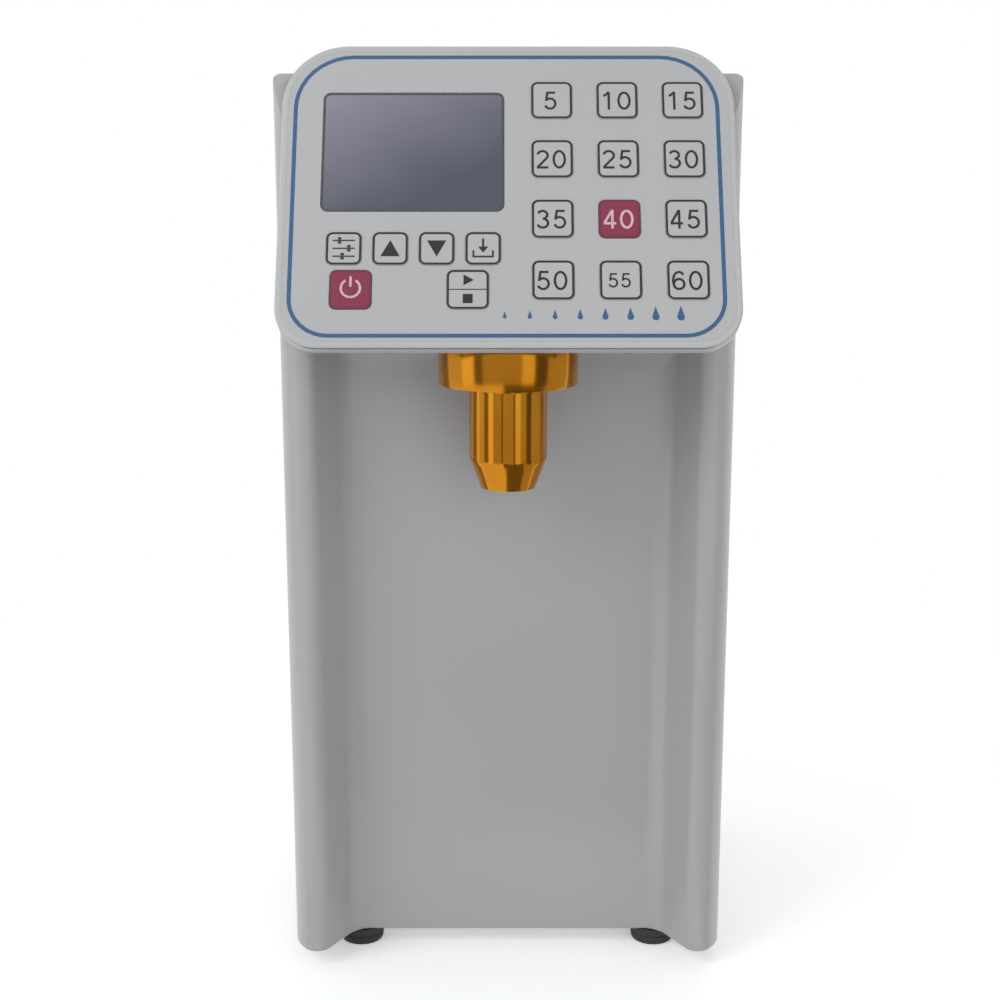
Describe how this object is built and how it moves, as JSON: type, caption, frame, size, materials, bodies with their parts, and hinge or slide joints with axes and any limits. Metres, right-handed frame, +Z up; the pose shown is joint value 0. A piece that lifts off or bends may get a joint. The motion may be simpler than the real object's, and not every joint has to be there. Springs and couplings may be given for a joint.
{
  "type": "syrup dispenser",
  "caption": "Counter-top electronic syrup dispenser: pillared body with a cup bay, leaning keypad panel, gold fluted nozzle and lift-off tank lid.",
  "frame": {"origin": "on the counter, under the middle of the whole object's box", "axes": "front faces -Y, +X is the object's side at the viewer's right, +Z is up"},
  "size_m": [0.23, 0.27, 0.4842],
  "materials": {
    "shell": "smooth moulded, soft gloss",
    "bezel": "smooth moulded, gloss",
    "overlay": "fine satin film",
    "window": "smoked, smooth",
    "display_body": "moulded",
    "dome_film": "satin film",
    "circuit_board": "solder mask",
    "gold": "gold anodised, turned",
    "steel": "turned",
    "seal_rubber": "moulded",
    "tank_steel": "brushed",
    "heater_film": "satin film",
    "lid_steel": "brushed",
    "silicone": "moulded",
    "black_plastic": "fine texture",
    "pump_metal": "machined",
    "gear_brass": "machined",
    "motor_metal": "satin",
    "plate_steel": "zinc plated",
    "hose_silicone": "smooth",
    "supply_metal": "sheet",
    "wire_sleeve": "braided sleeve",
    "foot_rubber": "moulded",
    "screw_steel": "plated",
    "cover_paint": "fine powder coat",
    "rocker_plastic": "smooth",
    "key_pale": "satin film",
    "key_red": "satin film"
  },
  "bodies": {
    "root": {"body_shell": "shell", "top_deck": "shell", "head_housing": "shell", "panel_bezel": "bezel", "panel_overlay": "overlay", "display_window": "window", "display_module": "display_body", "dome_sheet": "dome_film", "control_board": "circuit_board", "nozzle_collar": "gold", "nozzle_nut": "steel", "collar_seal": "seal_rubber", "reservoir_tank": "tank_steel", "tank_gasket": "seal_rubber", "outlet_strainer": "steel", "heater_pad": "heater_film", "pump_body": "pump_metal", "pump_cover": "pump_metal", "pump_motor": "motor_metal", "motor_bracket": "plate_steel", "suction_hose": "hose_silicone", "delivery_hose": "hose_silicone", "hose_clamps": "steel", "power_supply": "supply_metal", "wire_loom": "wire_sleeve", "base_plate": "plate_steel", "rubber_feet": "foot_rubber", "foot_screws": "screw_steel", "back_cover": "cover_paint", "power_inlet": "black_plastic", "case_screws": "screw_steel"},
    "lid": {"lid": "lid_steel", "lid_seal": "silicone", "lid_knob": "black_plastic"},
    "spout": {"nozzle_spout": "gold", "spout_o_ring": "seal_rubber", "valve_spring": "steel"},
    "valve": {"valve_ball": "steel"},
    "drive": {"drive_gear": "gear_brass", "drive_shaft": "steel"},
    "idler": {"idler_gear": "gear_brass"},
    "rocker": {"switch_rocker": "rocker_plastic"},
    "key_5": {"key_5": "key_pale"},
    "key_10": {"key_10": "key_pale"},
    "key_15": {"key_15": "key_pale"},
    "key_20": {"key_20": "key_pale"},
    "key_25": {"key_25": "key_pale"},
    "key_30": {"key_30": "key_pale"},
    "key_35": {"key_35": "key_pale"},
    "key_40": {"key_40": "key_red"},
    "key_45": {"key_45": "key_pale"},
    "key_50": {"key_50": "key_pale"},
    "key_55": {"key_55": "key_pale"},
    "key_60": {"key_60": "key_pale"},
    "key_set": {"key_set": "key_pale"},
    "key_up": {"key_up": "key_pale"},
    "key_down": {"key_down": "key_pale"},
    "key_store": {"key_store": "key_pale"},
    "key_power": {"key_power": "key_red"},
    "key_run_stop": {"key_run_stop": "key_pale"}
  },
  "joints": [
    {"name": "lid_lift", "type": "slide", "parent": "root", "child": "lid", "axis": [0, 0, 1], "range_m": [0, 0.06]},
    {"name": "spout_release", "type": "slide", "parent": "root", "child": "spout", "axis": [0, 0, -1], "range_m": [0, 0.04]},
    {"name": "valve_open", "type": "slide", "parent": "spout", "child": "valve", "axis": [0, 0, -1], "range_m": [0, 0.003], "stiffness_N_per_m": 120, "springref_m": -0.004, "deforming": ["valve_spring"]},
    {"name": "pump_drive", "type": "hinge", "parent": "root", "child": "drive", "pos_m": [0, 0.016, 0.064], "axis": [1, 0, 0], "continuous": true},
    {"name": "pump_idler", "type": "hinge", "parent": "root", "child": "idler", "pos_m": [0, 0.016, 0.0884], "axis": [1, 0, 0], "continuous": true},
    {"name": "power_rocker", "type": "hinge", "parent": "root", "child": "rocker", "pos_m": [0.062, 0.1296, 0.084], "axis": [-1, 0, 0], "range_deg": [0, 20]},
    {"name": "key_5_press", "type": "slide", "parent": "root", "child": "key_5", "axis": [0, 0.8829, -0.4695], "range_m": [0, 0.0005], "stiffness_N_per_m": 1500, "springref_m": -0.0003},
    {"name": "key_10_press", "type": "slide", "parent": "root", "child": "key_10", "axis": [0, 0.8829, -0.4695], "range_m": [0, 0.0005], "stiffness_N_per_m": 1500, "springref_m": -0.0003},
    {"name": "key_15_press", "type": "slide", "parent": "root", "child": "key_15", "axis": [0, 0.8829, -0.4695], "range_m": [0, 0.0005], "stiffness_N_per_m": 1500, "springref_m": -0.0003},
    {"name": "key_20_press", "type": "slide", "parent": "root", "child": "key_20", "axis": [0, 0.8829, -0.4695], "range_m": [0, 0.0005], "stiffness_N_per_m": 1500, "springref_m": -0.0003},
    {"name": "key_25_press", "type": "slide", "parent": "root", "child": "key_25", "axis": [0, 0.8829, -0.4695], "range_m": [0, 0.0005], "stiffness_N_per_m": 1500, "springref_m": -0.0003},
    {"name": "key_30_press", "type": "slide", "parent": "root", "child": "key_30", "axis": [0, 0.8829, -0.4695], "range_m": [0, 0.0005], "stiffness_N_per_m": 1500, "springref_m": -0.0003},
    {"name": "key_35_press", "type": "slide", "parent": "root", "child": "key_35", "axis": [0, 0.8829, -0.4695], "range_m": [0, 0.0005], "stiffness_N_per_m": 1500, "springref_m": -0.0003},
    {"name": "key_40_press", "type": "slide", "parent": "root", "child": "key_40", "axis": [0, 0.8829, -0.4695], "range_m": [0, 0.0005], "stiffness_N_per_m": 1500, "springref_m": -0.0003},
    {"name": "key_45_press", "type": "slide", "parent": "root", "child": "key_45", "axis": [0, 0.8829, -0.4695], "range_m": [0, 0.0005], "stiffness_N_per_m": 1500, "springref_m": -0.0003},
    {"name": "key_50_press", "type": "slide", "parent": "root", "child": "key_50", "axis": [0, 0.8829, -0.4695], "range_m": [0, 0.0005], "stiffness_N_per_m": 1500, "springref_m": -0.0003},
    {"name": "key_55_press", "type": "slide", "parent": "root", "child": "key_55", "axis": [0, 0.8829, -0.4695], "range_m": [0, 0.0005], "stiffness_N_per_m": 1500, "springref_m": -0.0003},
    {"name": "key_60_press", "type": "slide", "parent": "root", "child": "key_60", "axis": [0, 0.8829, -0.4695], "range_m": [0, 0.0005], "stiffness_N_per_m": 1500, "springref_m": -0.0003},
    {"name": "key_set_press", "type": "slide", "parent": "root", "child": "key_set", "axis": [0, 0.8829, -0.4695], "range_m": [0, 0.0005], "stiffness_N_per_m": 1500, "springref_m": -0.0003},
    {"name": "key_up_press", "type": "slide", "parent": "root", "child": "key_up", "axis": [0, 0.8829, -0.4695], "range_m": [0, 0.0005], "stiffness_N_per_m": 1500, "springref_m": -0.0003},
    {"name": "key_down_press", "type": "slide", "parent": "root", "child": "key_down", "axis": [0, 0.8829, -0.4695], "range_m": [0, 0.0005], "stiffness_N_per_m": 1500, "springref_m": -0.0003},
    {"name": "key_store_press", "type": "slide", "parent": "root", "child": "key_store", "axis": [0, 0.8829, -0.4695], "range_m": [0, 0.0005], "stiffness_N_per_m": 1500, "springref_m": -0.0003},
    {"name": "key_power_press", "type": "slide", "parent": "root", "child": "key_power", "axis": [0, 0.8829, -0.4695], "range_m": [0, 0.0005], "stiffness_N_per_m": 1500, "springref_m": -0.0003},
    {"name": "key_run_stop_press", "type": "slide", "parent": "root", "child": "key_run_stop", "axis": [0, 0.8829, -0.4695], "range_m": [0, 0.0005], "stiffness_N_per_m": 1500, "springref_m": -0.0003}
  ],
  "couplings": [
    {"joint": "pump_idler", "follows": "pump_drive", "ratio": -1}
  ]
}
